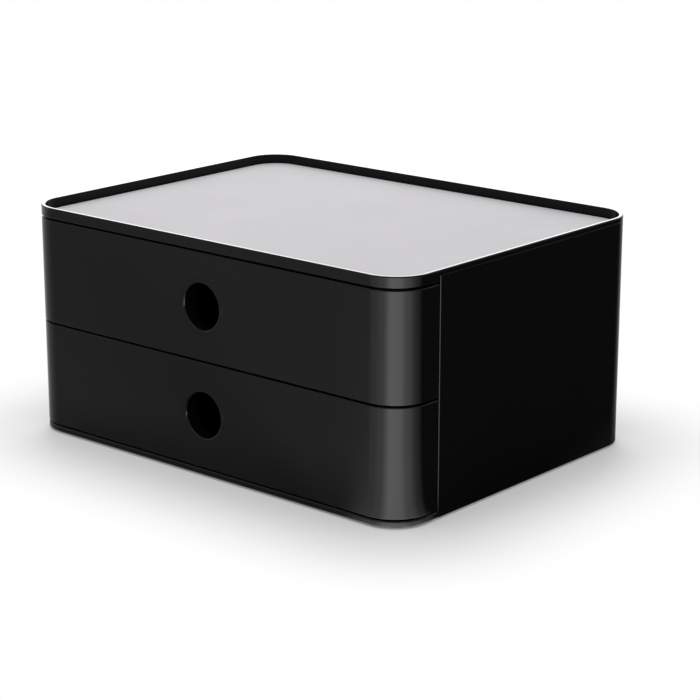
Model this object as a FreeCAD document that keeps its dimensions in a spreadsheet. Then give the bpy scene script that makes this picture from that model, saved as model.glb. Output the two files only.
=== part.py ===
import FreeCAD, Part
import Sketcher
import math
import os
from types import SimpleNamespace

# A desk box with two drawers, one above the other, and a shallow tray on top.
#
# The visible skin is five glossy mouldings: the U-shaped jacket round the sides and the back, the top
# frame with the rim, the base pan with its thin band, and the two drawer fronts. The fronts and both
# bands wrap round the front corners and meet the jacket at one upright seam on each side. Two inner
# side frames carry the drawers, so that no rib stands behind the glossy skin.
#
# The origin is on the table under the middle of the closed box. X runs to the right, Y to the back
# and Z up. The drawers are modelled from the lower edge of their own front and then lifted into place.

# Driving dimensions, in millimetres.
SIZES = {
    # The closed box.
    "box_width": 260,
    "box_depth": 195,
    "box_height": 125,
    "corner_radius": 20,
    "foot_standoff": 1,
    # The glossy skin, with the gaps that show between its mouldings.
    "skin_wall": 2.2,
    "top_band_height": 5.8,
    "base_band_height": 3.1,
    "reveal": 0.9,
    "wrap_length": 28.3,
    "seam_gap": 0.8,
    "edge_bevel": 0.6,
    "seam_bevel": 0.4,
    # Gaps that don't show: between fixed pieces, beside moving ones, and behind the drawer fronts.
    "fit_gap": 0.2,
    "run_gap": 0.4,
    "front_gap": 0.5,
    # The lap joint between the top frame and the jacket.
    "side_ring_height": 2.5,
    "tongue_wall": 1,
    # The tray on top, with the plate that lies in it.
    "rim_depth": 5,
    "insert_ledge": 1.3,
    "insert_thickness": 2,
    "insert_chamfer": 0.3,
    "carrier_wall": 2,
    "deck_rib_width": 1.6,
    "deck_rib_depth": 1.6,
    "deck_rib_spacing": 45,
    "locating_rib_width": 1.5,
    "locating_rib_depth": 2,
    # The shelf between the drawers.
    "shelf_wall": 2,
    # The base pan.
    "floor_wall": 2,
    "floor_rib_height": 0.9,
    "floor_rib_spacing": 60,
    "upstand_width": 180,
    "upstand_height": 9,
    "upstand_wall": 2,
    "catch_width": 20,
    "catch_spacing": 100,
    "catch_height": 2.5,
    "catch_reach": 1.6,
    # Rubber feet, cut from a strip, that lie across the box.
    "foot_length": 26,
    "foot_width": 9,
    "foot_inset_side": 32,
    "foot_inset_end": 20,
    "foot_pocket": 1,
    # The inner side frames, with the channels that carry the slide rims.
    "frame_wall": 2,
    "frame_setback": 21.5,
    "back_leg": 8,
    "ledge_wall": 2,
    "channel_lead": 1,
    "window_bar": 15,
    "window_margin": 11,
    "window_radius": 4,
    "buffer_width": 6,
    "buffer_gap": 0.3,
    # The drawer trays.
    "tray_wall": 1.8,
    "tray_floor": 1.8,
    "tray_lift": 0.6,
    "tray_bevel": 2,
    "slide_gap": 0.5,
    "slide_rim": 3.4,
    "slide_rim_wall": 1.8,
    "back_room": 10.3,
    # The stop that ends a drawer's travel.
    "drawer_travel": 130,
    "stop_gap": 0.3,
    "stop_overlap": 2,
    "stop_rib_gap": 0.6,
    "stop_rib_wall": 2,
    "tab_gap": 0.7,
    "tab_width": 20,
    "tab_spacing": 120,
    # The finger hole and its lipped ring.
    "grip_bore": 12,
    "grip_lip": 14.4,
    "grip_lip_bevel": 1.6,
    "grip_flange": 2.6,
    "grip_flange_wall": 1.6,
    "grip_spigot_wall": 1.2,
    "grip_fit": 0.1,
    # The bosses and screws that join a front to its tray.
    "boss_radius": 3.4,
    "boss_length": 4,
    "boss_spacing": 140,
    "boss_rib_wall": 1.4,
    "boss_rib_height": 36,
    # Screws, all of one kind.
    "screw_radius": 1.4,
    "screw_gap": 0.1,
    "screw_head_radius": 3,
    "screw_head_height": 1.9,
    "screw_tip_room": 0.4,
    # The screw posts at the back corners of the side frames, and their cups in the base pan.
    "post_radius": 3.2,
    "post_height": 12,
    "post_roof": 1,
    "post_bite": 0.5,
    "cup_radius": 5,
    "cup_height": 2.2,
    "cup_roof": 1.8,
    # How far a cut runs past the face that it starts from.
    "overrun": 1,
}

# How far along X and along Y a point on a 45 degree line lies, as shares of its distance.
DIAGONAL_SHARE = 0.70711

# Two places nearer than this are the same place.
SAME_PLACE = 0.001

NORMALS = {
    "XY_Plane": FreeCAD.Vector(0, 0, 1),
    "XZ_Plane": FreeCAD.Vector(0, -1, 0),
    "YZ_Plane": FreeCAD.Vector(1, 0, 0),
}

DRAWERS = ("upper", "lower")
DECK_RIBS = 5
FLOOR_RIBS = 3


class Size:
    """A length: its value now, and the expression that keeps it tied to the sheets."""

    def __init__(self, value, text):
        self.value = value
        self.text = text

    def __add__(self, other):
        return Size(self.value + other.value, f"({self.text} + {other.text})")

    def __sub__(self, other):
        return Size(self.value - other.value, f"({self.text} - {other.text})")

    def __neg__(self):
        return Size(-self.value, f"(0 - {self.text})")

    def __mul__(self, factor):
        return Size(self.value * factor, f"({self.text} * {factor})")

    def __truediv__(self, parts):
        return Size(self.value / parts, f"({self.text} / {parts})")


ZERO = Size(0, "0")


def larger(one, other):
    """The larger of two lengths."""
    return Size(max(one.value, other.value), f"max({one.text}; {other.text})")


# The document and its two sheets: the driving dimensions, and the places that follow from them.

document = FreeCAD.newDocument("desk_box")
sizes_sheet = document.addObject("Spreadsheet::Sheet", "Sizes")
places_sheet = document.addObject("Spreadsheet::Sheet", "Places")


def write_cell(sheet, row, name, content):
    """Puts a name in column A and its value, under that alias, in column B."""
    sheet.set(f"A{row}", name)
    sheet.set(f"B{row}", content)
    sheet.setAlias(f"B{row}", name)


def driving_sizes():
    """Fills the first sheet, and gives each size back under its name."""
    sizes = SimpleNamespace()
    for row, (name, value) in enumerate(SIZES.items(), start=1):
        write_cell(sizes_sheet, row, name, str(value))
        setattr(sizes, name, Size(value, f"Sizes.{name}"))
    return sizes


def derived_places(**lengths):
    """Adds places to the second sheet, and gives each one back under its name."""
    for name, length in lengths.items():
        row = len(vars(at)) + 1
        write_cell(places_sheet, row, name, f"={length.text}")
        setattr(at, name, Size(length.value, f"Places.{name}"))


s = driving_sizes()
at = SimpleNamespace()

# Plan places of the skin.
derived_places(
    side=s.box_width / 2,
    front=-s.box_depth / 2,
    back=s.box_depth / 2,
    skin_side=s.box_width / 2 - s.skin_wall,
    skin_front=s.skin_wall - s.box_depth / 2,
    skin_back=s.box_depth / 2 - s.skin_wall,
    skin_radius=s.corner_radius - s.skin_wall,
    wrap_end=s.wrap_length - s.box_depth / 2,
)
derived_places(jacket_front=at.wrap_end + s.seam_gap)

# Heights of the skin, from the rim down to the floor.
derived_places(
    band_bottom=s.box_height - s.top_band_height,
    ring_bottom=s.box_height - s.side_ring_height,
    deck_top=s.box_height - s.rim_depth,
    base_band_top=s.foot_standoff + s.base_band_height,
    floor_top=s.foot_standoff + s.floor_wall,
)
derived_places(
    tongue_top=at.ring_bottom - s.fit_gap,
    shoulder=at.band_bottom - s.fit_gap,
    insert_bottom=at.deck_top - s.insert_thickness,
    front_height=(at.band_bottom - at.base_band_top - s.reveal * 3) / 2,
    lower_bottom=at.base_band_top + s.reveal,
)
derived_places(
    carrier_bottom=at.insert_bottom - s.carrier_wall,
    shelf_top=at.lower_bottom + at.front_height,
)
derived_places(
    shelf_bottom=at.shelf_top - s.shelf_wall,
    upper_bottom=at.shelf_top + s.reveal,
)

# The side frames, which stand just inside the skin.
derived_places(
    frame_outside=at.skin_side - s.run_gap,
    frame_back=at.skin_back - s.run_gap,
    frame_radius=at.skin_radius - s.run_gap,
    frame_front=at.front + s.frame_setback,
    straight_end=at.back - s.corner_radius,
    leg_end=at.side - s.corner_radius - s.back_leg,
)
derived_places(
    frame_inside=at.frame_outside - s.frame_wall,
    leg_front=at.frame_back - s.frame_wall,
    frame_inner_radius=at.frame_radius - s.frame_wall,
)
derived_places(
    post_reach=(at.frame_inner_radius - s.post_radius + s.post_bite) * DIAGONAL_SHARE,
    cup_top=at.floor_top + s.cup_height,
)
derived_places(
    post_x=at.side - s.corner_radius + at.post_reach,
    post_y=at.straight_end + at.post_reach,
    cup_ceiling=at.cup_top - s.cup_roof,
)

# The drawers, with heights counted from the lower edge of their own front.
derived_places(
    tray_side=at.frame_inside - s.slide_gap - s.slide_rim,
    tray_front=at.skin_front + s.boss_length,
    tray_back=at.skin_back - s.back_room,
    tray_front_radius=at.skin_radius - s.boss_length,
    tray_back_radius=at.skin_radius - s.tray_wall,
    head_room=s.stop_rib_gap + s.stop_overlap + s.tab_gap,
    upper_cover=at.upper_bottom + at.front_height - at.carrier_bottom,
    grip_height=at.front_height / 2,
)
derived_places(
    tray_top=at.front_height - at.head_room - larger(at.upper_cover, s.shelf_wall),
    tray_inner_side=at.tray_side - s.tray_wall,
    tray_inner_front=at.tray_front + s.tray_wall,
    tray_inner_back=at.tray_back - s.tray_wall,
    rim_front=at.tray_front + at.tray_front_radius,
    rim_side=at.tray_side + s.slide_rim,
    rim_back=at.tray_back + s.slide_rim,
    tab_top=s.stop_rib_gap + s.stop_overlap,
)
derived_places(
    rim_bottom=at.tray_top - s.slide_rim_wall,
    stop_rib_back=at.tray_inner_back - s.drawer_travel - s.stop_gap,
    stop_rib_bottom=at.tray_top + s.stop_rib_gap,
    ledge_tip=at.tray_side + s.slide_gap,
)


# Sketch outlines.


def outline(*corners):
    """A closed outline of level and upright lines. A corner is (x, y), or (x, y, radius) if round."""

    def draw(sketch):
        count = len(corners)
        points = [FreeCAD.Vector(x.value, y.value, 0) for x, y, *_ in corners]
        radii = [corner[2] if len(corner) > 2 else None for corner in corners]
        trims = [radius.value if radius else 0 for radius in radii]
        ways = [(points[(i + 1) % count] - points[i]).normalize() for i in range(count)]
        first = sketch.GeometryCount
        rules = []
        bindings = []
        for i in range(count):
            after = (i + 1) % count
            start = points[i] + ways[i] * trims[i]
            end = points[after] - ways[i] * trims[after]
            line = sketch.addGeometry(Part.LineSegment(start, end), False)
            x, y = corners[i][:2]
            level = abs(ways[i].x) > abs(ways[i].y)
            rules.append(Sketcher.Constraint("Horizontal" if level else "Vertical", line))
            place_point(rules, bindings, line, 1, None if level else x, y if level else None)
        for i in range(count):
            line_in = first + (i - 1) % count
            line_out = first + i
            if not radii[i]:
                rules.append(Sketcher.Constraint("Coincident", line_in, 2, line_out, 1))
                continue
            came, leaves = ways[i - 1], ways[i]
            centre = points[i] - came * trims[i] + leaves * trims[i]
            left_turn = came.x * leaves.y - came.y * leaves.x > 0
            start_way, end_way = (-leaves, came) if left_turn else (came, -leaves)
            arc = sketch.addGeometry(
                Part.ArcOfCircle(
                    Part.Circle(centre, FreeCAD.Vector(0, 0, 1), trims[i]),
                    math.atan2(start_way.y, start_way.x),
                    math.atan2(end_way.y, end_way.x),
                ),
                False,
            )
            first_end, last_end = (1, 2) if left_turn else (2, 1)
            rules.append(Sketcher.Constraint("Tangent", line_in, 2, arc, first_end))
            rules.append(Sketcher.Constraint("Tangent", line_out, 1, arc, last_end))
            bindings.append((len(rules), radii[i]))
            rules.append(Sketcher.Constraint("Radius", arc, trims[i]))
        add_rules(sketch, rules, bindings)

    return draw


def circle(x, y, radius):
    """A full circle."""

    def draw(sketch):
        centre = FreeCAD.Vector(x.value, y.value, 0)
        ring = sketch.addGeometry(
            Part.Circle(centre, FreeCAD.Vector(0, 0, 1), radius.value), False
        )
        rules = []
        bindings = []
        place_point(rules, bindings, ring, 3, x, y)
        bindings.append((len(rules), radius))
        rules.append(Sketcher.Constraint("Radius", ring, radius.value))
        add_rules(sketch, rules, bindings)

    return draw


def place_point(rules, bindings, geometry, point, x, y):
    """Ties a point of a sketch to its distances from the sketch's axes."""
    for kind, axis, distance in (("DistanceX", -2, x), ("DistanceY", -1, y)):
        if distance is None:
            continue
        if distance is ZERO:
            rules.append(Sketcher.Constraint("PointOnObject", geometry, point, axis))
            continue
        bindings.append((len(rules), distance))
        rules.append(Sketcher.Constraint(kind, -1, 1, geometry, point, distance.value))


def add_rules(sketch, rules, bindings):
    """Adds the constraints, and binds those that hold a size to the sheets."""
    first = sketch.ConstraintCount
    sketch.addConstraint(rules)
    for index, size in bindings:
        sketch.setExpression(f"Constraints[{first + index}]", size.text)


def rectangle(x_low, y_low, x_high, y_high):
    """A plain rectangle."""
    return outline((x_low, y_low), (x_high, y_low), (x_high, y_high), (x_low, y_high))


def plan_loop(side, front, back, radius):
    """A rounded rectangle in plan, the same to the left and to the right."""
    return outline(
        (-side, front, radius),
        (side, front, radius),
        (side, back, radius),
        (-side, back, radius),
    )


def wrap_round_front(outer, inner, end):
    """A wall in plan that runs round the front and both front corners. Each face is (side, front, radius)."""
    side, front, radius = outer
    inner_side, inner_front, inner_radius = inner
    return outline(
        (-side, end),
        (-side, front, radius),
        (side, front, radius),
        (side, end),
        (inner_side, end),
        (inner_side, inner_front, inner_radius),
        (-inner_side, inner_front, inner_radius),
        (-inner_side, end),
    )


def wrap_round_back(outer, inner, end):
    """A wall in plan that runs round the back and both back corners. Each face is (side, back, radius)."""
    side, back, radius = outer
    inner_side, inner_back, inner_radius = inner
    return outline(
        (side, end),
        (side, back, radius),
        (-side, back, radius),
        (-side, end),
        (-inner_side, end),
        (-inner_side, inner_back, inner_radius),
        (inner_side, inner_back, inner_radius),
        (inner_side, end),
    )


class Piece:
    """One physical piece of the box, as a body that features are added to in order."""

    def __init__(self, label):
        self.body = document.addObject("PartDesign::Body", label)
        self.body.Label = label

    def plane(self, role):
        for feature in self.body.Origin.OriginFeatures:
            if feature.Role == role:
                return feature
        raise ValueError(f"{self.body.Label} has no {role}")

    def sketch(self, name, role, offset, loops):
        """A sketch on one of the body's own planes, moved along that plane's normal by offset."""
        sketch = self.body.newObject("Sketcher::SketchObject", f"{name}_sketch")
        sketch.AttachmentSupport = [(self.plane(role), "")]
        sketch.MapMode = "FlatFace"
        sketch.setExpression(".AttachmentOffset.Base.z", offset.text)
        for loop in loops:
            loop(sketch)
        return sketch

    def pad(self, name, role, low, high, loops):
        """Solid between two places along a plane's normal."""
        return self.extrude("PartDesign::Pad", name, self.sketch(name, role, low, loops), high - low)

    def cut(self, name, role, low, high, loops):
        """A cut between two places along a plane's normal."""
        return self.extrude(
            "PartDesign::Pocket", name, self.sketch(name, role, high, loops), high - low
        )

    def extrude(self, kind, name, sketch, length):
        """A pad grows along the sketch's normal, and a pocket goes against it."""
        feature = self.body.newObject(kind, name)
        feature.Profile = sketch
        feature.setExpression("Length", length.text)
        feature.Refine = True
        sketch.Visibility = False
        self.body.Tip = feature
        return feature

    def pad_up(self, name, bottom, top, *loops):
        """Solid between two heights. Loops are drawn in X and Y."""
        return self.pad(name, "XY_Plane", bottom, top, loops)

    def cut_down(self, name, top, bottom, *loops):
        """A cut between two heights. Loops are drawn in X and Y."""
        return self.cut(name, "XY_Plane", bottom, top, loops)

    def pad_forward(self, name, back, front, *loops):
        """Solid between two places from back to front. Loops are drawn in X and Z."""
        return self.pad(name, "XZ_Plane", -back, -front, loops)

    def cut_back(self, name, front, back, *loops):
        """A cut between two places from front to back. Loops are drawn in X and Z."""
        return self.cut(name, "XZ_Plane", -back, -front, loops)

    def cut_left(self, name, right, left, *loops):
        """A cut between two places from right to left. Loops are drawn in Y and Z."""
        return self.cut(name, "YZ_Plane", left, right, loops)

    def repeat(self, name, feature, role, spacing, copies):
        """Repeats a feature along the normal of one of the body's planes."""
        pattern = self.body.newObject("PartDesign::LinearPattern", name)
        pattern.Originals = [feature]
        pattern.Direction = (self.plane(role), [""])
        pattern.setExpression("Length", (spacing * (copies - 1)).text)
        pattern.Occurrences = copies
        self.body.Tip = pattern

    def bevel_edges(self, name, size, wanted):
        """Chamfers the edges that wanted() picks on the piece as it stands."""
        document.recompute()
        base = self.body.Tip
        edges = [f"Edge{i}" for i, edge in enumerate(base.Shape.Edges, start=1) if wanted(edge)]
        if not edges:
            raise ValueError(f"{self.body.Label}: {name} finds no edge")
        feature = self.body.newObject("PartDesign::Chamfer", name)
        feature.Base = (base, edges)
        feature.setExpression("Size", size.text)
        self.body.Tip = feature

    def mirror_all(self, name, role):
        """Adds a mirrored copy of the whole piece so far, on the other side of a plane."""
        document.recompute()
        mirrored = self.body.newObject("PartDesign::Mirrored", name)
        mirrored.TransformMode = "Whole shape"
        mirrored.MirrorPlane = (self.plane(role), [""])
        self.body.Tip = mirrored

    def lift(self, height):
        """Moves the whole piece up."""
        self.body.setExpression(".Placement.Base.z", height.text)


# Picking edges by where they lie.


def samples(edge):
    """Both ends and the middle of an edge."""
    first, last = edge.ParameterRange
    return [edge.valueAt(first), edge.valueAt((first + last) / 2), edge.valueAt(last)]


def same(one, other):
    return abs(one - other) < SAME_PLACE


def inset(point):
    """How far a point lies inside the box's outer contour, in plan."""
    radius = s.corner_radius.value
    across = abs(point.x) - (at.side.value - radius)
    along = abs(point.y) - (at.back.value - radius)
    beyond = math.hypot(max(across, 0), max(along, 0)) + min(max(across, along), 0)
    return radius - beyond


def contour_edges(depth, height):
    """Picks the edges that follow the outer contour at a depth inside it and at one height."""
    return lambda edge: all(
        same(inset(p), depth.value) and same(p.z, height.value) for p in samples(edge)
    )


def upright_edges(y, depth):
    """Picks the upright edges at one place along Y and at a depth inside the outer contour."""
    return lambda edge: all(
        same(p.y, y.value) and same(inset(p), depth.value) for p in samples(edge)
    ) and not same(samples(edge)[0].z, samples(edge)[2].z)


def level_edges(height):
    """Picks the edges at one height."""
    return lambda edge: all(same(p.z, height.value) for p in samples(edge))


def rims(radius, role, place):
    """Picks the circles of one radius that lie at one place along a plane's normal."""
    return lambda edge: (
        isinstance(edge.Curve, Part.Circle)
        and same(edge.Curve.Radius, radius.value)
        and same(edge.Curve.Center.dot(NORMALS[role]), place.value)
    )


# The faces of the skin and of the side frames in plan, as (side, front or back, radius).

skin_out_front = (at.side, at.front, s.corner_radius)
skin_out_back = (at.side, at.back, s.corner_radius)
skin_in_front = (at.skin_side, at.skin_front, at.skin_radius)
skin_in_back = (at.skin_side, at.skin_back, at.skin_radius)


def inset_back(face, depth):
    """The same face in plan, moved inwards."""
    side, back, radius = face
    return side - depth, back - depth, radius - depth


def make_outer_jacket():
    """The glossy U-shaped skin, with a thin tongue at the top that laps behind the rim's outer ring."""
    jacket = Piece("outer_jacket")
    jacket.pad_up(
        "jacket_wall",
        s.foot_standoff,
        at.tongue_top,
        wrap_round_back(skin_out_back, skin_in_back, at.jacket_front),
    )
    jacket.cut_down(
        "jacket_lap",
        at.tongue_top,
        at.shoulder,
        wrap_round_back(
            inset_back(skin_out_back, s.tongue_wall),
            inset_back(skin_in_back, s.overrun),
            at.jacket_front - s.overrun,
        ),
    )
    catch_bottom = at.floor_top + s.upstand_height + s.fit_gap
    for name, centre in (("left", -s.catch_spacing / 2), ("right", s.catch_spacing / 2)):
        jacket.pad_up(
            f"jacket_catch_{name}",
            catch_bottom,
            catch_bottom + s.catch_height,
            rectangle(
                centre - s.catch_width / 2,
                at.skin_back - s.catch_reach,
                centre + s.catch_width / 2,
                at.skin_back,
            ),
        )
    jacket.bevel_edges("jacket_seam_bevel", s.seam_bevel, upright_edges(at.jacket_front, ZERO))
    jacket.bevel_edges("jacket_foot_bevel", s.edge_bevel, contour_edges(ZERO, s.foot_standoff))
    return jacket


def make_top_frame():
    """The rim, the front band and the carrier plate under the deck, with its stop rib."""
    frame = Piece("top_frame")
    frame.pad_up(
        "rim_block",
        at.band_bottom,
        s.box_height,
        plan_loop(at.side, at.front, at.back, s.corner_radius),
    )
    tub = s.skin_wall + s.front_gap
    frame.pad_up(
        "carrier_block",
        at.carrier_bottom,
        at.band_bottom,
        plan_loop(at.side - tub, at.front + tub, at.back - tub, s.corner_radius - tub),
    )
    frame.cut_down(
        "tray_recess",
        s.box_height,
        at.deck_top,
        plan_loop(at.skin_side, at.skin_front, at.skin_back, at.skin_radius),
    )
    ledge = s.insert_ledge
    frame.cut_down(
        "insert_recess",
        at.deck_top,
        at.insert_bottom,
        plan_loop(
            at.skin_side - ledge,
            at.skin_front + ledge,
            at.skin_back - ledge,
            at.skin_radius - ledge,
        ),
    )
    lap = s.tongue_wall + s.fit_gap
    frame.cut_down(
        "rim_lap",
        at.ring_bottom,
        at.band_bottom - s.overrun,
        wrap_round_back(
            inset_back(skin_out_back, -s.overrun), inset_back(skin_out_back, lap), at.wrap_end
        ),
    )
    add_stop_rib(frame, at.carrier_bottom, at.upper_bottom)
    rib_side = at.ledge_tip - s.fit_gap
    frame.pad_up(
        "locating_ribs",
        at.carrier_bottom - s.locating_rib_depth,
        at.carrier_bottom,
        rectangle(rib_side - s.locating_rib_width, at.frame_front, rib_side, at.straight_end),
        rectangle(-rib_side, at.frame_front, s.locating_rib_width - rib_side, at.straight_end),
    )
    span = s.deck_rib_spacing * (DECK_RIBS - 1) / 2
    rib = frame.pad_up(
        "deck_rib",
        at.carrier_bottom - s.deck_rib_depth,
        at.carrier_bottom,
        rectangle(
            -span - s.deck_rib_width / 2,
            at.tray_front,
            s.deck_rib_width / 2 - span,
            at.tray_inner_back,
        ),
    )
    frame.repeat("deck_ribs", rib, "YZ_Plane", s.deck_rib_spacing, DECK_RIBS)
    frame.bevel_edges("rim_bevel", s.edge_bevel, contour_edges(ZERO, s.box_height))
    frame.bevel_edges("rim_inner_bevel", s.edge_bevel, contour_edges(s.skin_wall, s.box_height))
    frame.bevel_edges("band_bevel", s.edge_bevel, contour_edges(ZERO, at.band_bottom))
    return frame


def add_stop_rib(piece, ceiling, drawer_bottom):
    """The cross rib that the tabs of the drawer below it come up against."""
    piece.pad_up(
        "stop_rib",
        drawer_bottom + at.stop_rib_bottom,
        ceiling,
        rectangle(
            s.locating_rib_width - at.ledge_tip,
            at.stop_rib_back - s.stop_rib_wall,
            at.ledge_tip - s.locating_rib_width,
            at.stop_rib_back,
        ),
    )


def make_deck_insert():
    """The pale plate that lies in the top frame."""
    insert = Piece("deck_insert")
    depth = s.skin_wall + s.insert_ledge + s.fit_gap
    insert.pad_up(
        "plate",
        at.insert_bottom,
        at.deck_top,
        plan_loop(at.side - depth, at.front + depth, at.back - depth, s.corner_radius - depth),
    )
    insert.bevel_edges("plate_chamfer", s.insert_chamfer, contour_edges(depth, at.deck_top))
    return insert


def make_divider_shelf():
    """The shelf over the lower drawer. It fills the box in front of the side frames and between them."""
    shelf = Piece("divider_shelf")
    wing_end = at.frame_front - s.fit_gap
    depth = s.skin_wall + s.front_gap
    side = at.frame_inside - s.fit_gap
    back = at.leg_front - s.fit_gap
    radius = at.frame_inner_radius - s.fit_gap
    shelf.pad_up(
        "shelf_plate",
        at.shelf_bottom,
        at.shelf_top,
        outline(
            (depth - at.side, at.front + depth, s.corner_radius - depth),
            (at.side - depth, at.front + depth, s.corner_radius - depth),
            (at.side - depth, wing_end),
            (side, wing_end),
            (side, back, radius),
            (-side, back, radius),
            (-side, wing_end),
            (depth - at.side, wing_end),
        ),
    )
    add_stop_rib(shelf, at.shelf_bottom, at.lower_bottom)
    return shelf


def make_base_pan():
    """The floor, the thin band round its front, and the seats for the feet, frames and screws."""
    base = Piece("base_pan")
    inner_side, inner_back, inner_radius = inset_back(skin_in_back, s.fit_gap)
    base.pad_up(
        "floor",
        s.foot_standoff,
        at.floor_top,
        outline(
            (-at.side, at.front, s.corner_radius),
            (at.side, at.front, s.corner_radius),
            (at.side, at.wrap_end),
            (inner_side, at.wrap_end),
            (inner_side, inner_back, inner_radius),
            (-inner_side, inner_back, inner_radius),
            (-inner_side, at.wrap_end),
            (-at.side, at.wrap_end),
        ),
    )
    base.pad_up(
        "band",
        s.foot_standoff,
        at.base_band_top,
        wrap_round_front(skin_out_front, skin_in_front, at.wrap_end),
    )
    base.pad_up(
        "back_upstand",
        at.floor_top,
        at.floor_top + s.upstand_height,
        rectangle(
            -s.upstand_width / 2,
            inner_back - s.upstand_wall,
            s.upstand_width / 2,
            inner_back,
        ),
    )
    rib_side = at.frame_inside - s.fit_gap
    base.pad_up(
        "locating_ribs",
        at.floor_top,
        at.floor_top + s.locating_rib_depth,
        rectangle(rib_side - s.locating_rib_width, at.frame_front, rib_side, at.straight_end),
        rectangle(-rib_side, at.frame_front, s.locating_rib_width - rib_side, at.straight_end),
    )
    rib = base.pad_up(
        "floor_rib",
        at.floor_top,
        at.floor_top + s.floor_rib_height,
        rectangle(
            -s.floor_rib_spacing - s.deck_rib_width / 2,
            at.tray_front,
            s.deck_rib_width / 2 - s.floor_rib_spacing,
            at.tray_inner_back,
        ),
    )
    base.repeat("floor_ribs", rib, "YZ_Plane", s.floor_rib_spacing, FLOOR_RIBS)
    posts = [(-at.post_x, at.post_y), (at.post_x, at.post_y)]
    base.pad_up(
        "screw_cups",
        at.floor_top,
        at.cup_top,
        *(circle(x, y, s.cup_radius) for x, y in posts),
    )
    base.cut_down(
        "screw_head_seats",
        at.cup_ceiling,
        s.foot_standoff,
        *(circle(x, y, s.screw_head_radius + s.fit_gap) for x, y in posts),
    )
    base.cut_down(
        "screw_holes",
        at.cup_top,
        at.cup_ceiling,
        *(circle(x, y, s.screw_radius + s.fit_gap) for x, y in posts),
    )
    base.cut_down(
        "foot_pockets",
        s.foot_standoff + s.foot_pocket,
        s.foot_standoff,
        *(foot_outline(x, y, s.fit_gap) for x, y in foot_places().values()),
    )
    base.bevel_edges("band_top_bevel", s.edge_bevel, contour_edges(ZERO, at.base_band_top))
    base.bevel_edges("band_foot_bevel", s.edge_bevel, contour_edges(ZERO, s.foot_standoff))
    return base


def foot_places():
    """Where the four feet stand."""
    x = at.side - s.foot_inset_side
    y = at.back - s.foot_inset_end
    return {
        "front_left": (-x, -y),
        "front_right": (x, -y),
        "back_left": (-x, y),
        "back_right": (x, y),
    }


def foot_outline(x, y, gap):
    """A foot's outline in plan, grown by a gap all round."""
    half_length = s.foot_length / 2 + gap
    half_width = s.foot_width / 2 + gap
    return rectangle(x - half_length, y - half_width, x + half_length, y + half_width)


def make_foot(place, x, y):
    """A rubber pad, sunk into the base pan."""
    foot = Piece(f"foot_{place}")
    foot.pad_up("pad", ZERO, s.foot_standoff + s.foot_pocket, foot_outline(ZERO, ZERO, ZERO))
    foot.body.setExpression(".Placement.Base.x", x.text)
    foot.body.setExpression(".Placement.Base.y", y.text)
    return foot


def make_right_side_frame():
    """The wall that carries the right ends of both drawers, from the base pan up to the top frame."""
    frame = Piece("right_side_frame")
    frame.pad_up(
        "wall",
        at.floor_top,
        at.carrier_bottom,
        outline(
            (at.frame_outside, at.frame_front),
            (at.frame_outside, at.frame_back, at.frame_radius),
            (at.leg_end, at.frame_back),
            (at.leg_end, at.leg_front),
            (at.frame_inside, at.leg_front, at.frame_inner_radius),
            (at.frame_inside, at.frame_front),
        ),
    )
    ceilings = {"upper": at.carrier_bottom, "lower": at.shelf_bottom}
    bottoms = {"upper": at.upper_bottom, "lower": at.lower_bottom}
    ledges = []
    buffers = []
    for drawer in DRAWERS:
        rim_bottom = bottoms[drawer] + at.rim_bottom
        rim_top = bottoms[drawer] + at.tray_top
        guard_bottom = rim_top + s.run_gap
        ledges.append(
            rectangle(at.ledge_tip, rim_bottom - s.ledge_wall, at.frame_inside, rim_bottom)
        )
        ledges.append(rectangle(at.ledge_tip, guard_bottom, at.frame_inside, ceilings[drawer]))
        buffers.append(
            rectangle(at.leg_end, rim_bottom, at.leg_end + s.buffer_width, rim_top)
        )
    frame.pad_forward("channel_ledges", at.straight_end, at.frame_front, *ledges)
    frame.pad_forward("back_buffers", at.leg_front, at.rim_back + s.buffer_gap, *buffers)
    frame.pad_up(
        "screw_post",
        at.cup_top,
        at.cup_top + s.post_height,
        circle(at.post_x, at.post_y, s.post_radius),
    )
    frame.cut_down(
        "cup_notch",
        at.cup_top,
        at.floor_top,
        circle(at.post_x, at.post_y, s.cup_radius + s.fit_gap),
    )
    frame.cut_down(
        "post_bore",
        at.cup_top + s.post_height - s.post_roof,
        at.cup_top,
        circle(at.post_x, at.post_y, s.screw_radius + s.screw_gap),
    )
    windows = []
    near = at.frame_front + s.window_bar
    far = at.straight_end - s.window_bar
    for drawer in DRAWERS:
        low = bottoms[drawer] + s.tray_lift + s.window_margin
        high = bottoms[drawer] + at.rim_bottom - s.ledge_wall - s.window_margin
        windows.append(
            outline(
                (near, low, s.window_radius),
                (far, low, s.window_radius),
                (far, high, s.window_radius),
                (near, high, s.window_radius),
            )
        )
    frame.cut_left("windows", at.frame_outside, at.frame_inside, *windows)
    frame.bevel_edges("channel_lead_in", s.channel_lead, channel_mouth_edges)
    return frame


def channel_mouth_edges(edge):
    """Picks the front edge of each ledge where the slide rim comes in."""
    rims = []
    for bottom in (at.upper_bottom, at.lower_bottom):
        rims.append((bottom + at.rim_bottom).value)
        rims.append((bottom + at.tray_top + s.run_gap).value)
    on_front = all(same(p.y, at.frame_front.value) for p in samples(edge))
    on_ledge = samples(edge)[1].x < at.frame_inside.value
    return on_front and on_ledge and any(
        all(same(p.z, rim) for p in samples(edge)) for rim in rims
    )


def mirror_of(piece, label):
    """The same piece for the other side of the box."""
    mirrored = document.addObject("Part::Mirroring", label)
    mirrored.Label = label
    mirrored.Source = piece.body
    mirrored.Normal = FreeCAD.Vector(1, 0, 0)
    return mirrored


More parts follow.
